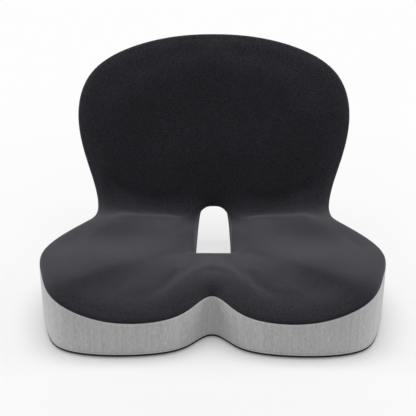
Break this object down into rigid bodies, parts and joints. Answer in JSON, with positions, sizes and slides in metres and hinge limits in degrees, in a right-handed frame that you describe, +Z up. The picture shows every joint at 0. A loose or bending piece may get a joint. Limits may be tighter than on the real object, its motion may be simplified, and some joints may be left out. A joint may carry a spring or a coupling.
{
  "type": "seat cushion",
  "caption": "Contoured foam seat cushion with a raised back, a relief slot and a zipped fabric cover.",
  "frame": {"origin": "on the floor, under the middle of the cushion's overall box", "axes": "+Z up, the front of the seat towards -Y, +X to the right seen from the front"},
  "size_m": [0.4506, 0.4084, 0.3086],
  "materials": {
    "foam": "open-cell foam",
    "liner_knit": "thin knit",
    "velour": "short-pile velour",
    "heather_band": "heather weave",
    "grip_cloth": "non-slip cloth",
    "zip_tape": "woven tape",
    "zip_coil": "nylon coil",
    "zip_metal": "black enamel",
    "label_satin": "satin"
  },
  "bodies": {
    "cushion": {"foam_core": "foam", "liner_upper": "liner_knit", "liner_lower": "liner_knit", "top_panel": "velour", "side_band": "heather_band", "slot_lining": "velour", "base_panel": "grip_cloth", "back_panel_upper": "velour", "back_panel_lower": "velour", "zip_tape_upper": "zip_tape", "zip_tape_lower": "zip_tape", "zip_chain_upper": "zip_coil", "zip_chain_lower": "zip_coil", "zip_stop_closed": "zip_metal", "zip_stop_open": "zip_metal", "care_label": "label_satin"},
    "zip_slider": {"zip_slider": "zip_metal"},
    "zip_pull": {"zip_pull": "zip_metal"}
  },
  "joints": [
    {"name": "zip_slide", "type": "slide", "parent": "cushion", "child": "zip_slider", "axis": [-1, 0, 0], "range_m": [0, 0.2778]},
    {"name": "zip_pull_hinge", "type": "hinge", "parent": "zip_slider", "child": "zip_pull", "pos_m": [0.1389, 0.19419, 0.12138], "axis": [0, -0.1313, -0.9913], "range_deg": [0, 165]}
  ]
}
